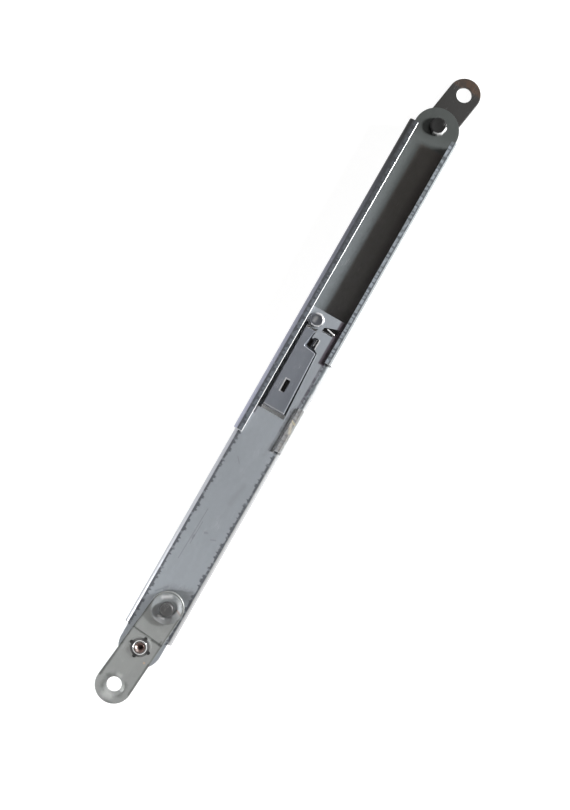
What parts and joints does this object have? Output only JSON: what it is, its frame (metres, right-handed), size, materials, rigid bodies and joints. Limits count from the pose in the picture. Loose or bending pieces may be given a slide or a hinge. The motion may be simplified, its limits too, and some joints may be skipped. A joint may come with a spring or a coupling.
{
  "type": "window support arm",
  "caption": "Telescopic steel stay for a window: lipped channel, sliding arm with a sprung latch lever, and a pivoting fixing link at each end.",
  "frame": {"origin": "centre of the frame link's fixing hole, on the link's seat against the window frame", "axes": "X along the arm, +X from the sash end toward the frame end; +Y across it; +Z out of the seat, toward the open side of the channel"},
  "size_m": [0.3188, 0.025, 0.0137],
  "materials": {
    "aged_link_steel": "stained",
    "dark_rivet_steel": "dull",
    "outer_channel_steel": "zinc plated, mottled",
    "inner_arm_steel": "satin, scratched",
    "lever_steel": "satin",
    "rivet_steel": "satin",
    "spring_steel": "bright",
    "sash_link_steel": "satin",
    "polished_stud": "polished",
    "black_bush": "moulded",
    "dished_washer_steel": "bright"
  },
  "bodies": {
    "frame_link": {"frame_link": "aged_link_steel", "frame_pivot_rivet": "dark_rivet_steel", "frame_pivot_washer": "dark_rivet_steel"},
    "outer_channel": {"outer_channel": "outer_channel_steel"},
    "inner_arm": {"inner_arm": "inner_arm_steel", "latch_pivot_rivet": "rivet_steel", "latch_spacer": "rivet_steel", "latch_sleeve": "rivet_steel", "latch_spring": "spring_steel", "sash_pivot_stud": "polished_stud", "sash_pivot_collar": "polished_stud"},
    "latch_lever": {"latch_lever": "lever_steel"},
    "sash_link": {"sash_link": "sash_link_steel", "sash_pivot_bush": "black_bush", "tail_rivet": "dark_rivet_steel", "tail_dish_washer": "dished_washer_steel", "tail_pad": "black_bush"}
  },
  "joints": [
    {"name": "frame_pivot", "type": "hinge", "parent": "frame_link", "child": "outer_channel", "pos_m": [-0.01895, 0.00307, 0.00215], "axis": [0, 0, 1], "range_deg": [-99.5, 80.5]},
    {"name": "arm_slide", "type": "slide", "parent": "outer_channel", "child": "inner_arm", "axis": [1, 0, 0], "range_m": [-0.002, 0.0743]},
    {"name": "latch_press", "type": "hinge", "parent": "inner_arm", "child": "latch_lever", "pos_m": [-0.12075, 0.00697, 0.00625], "axis": [0, 0, -1], "range_deg": [0, 2.6], "stiffness_Nm_per_rad": 0.02, "springref_deg": -17.19, "deforming": ["latch_spring"]},
    {"name": "sash_pivot", "type": "hinge", "parent": "inner_arm", "child": "sash_link", "pos_m": [-0.28315, 0.00307, 0.00945], "axis": [0, 0, 1], "range_deg": [-84.8, 95.2]}
  ]
}
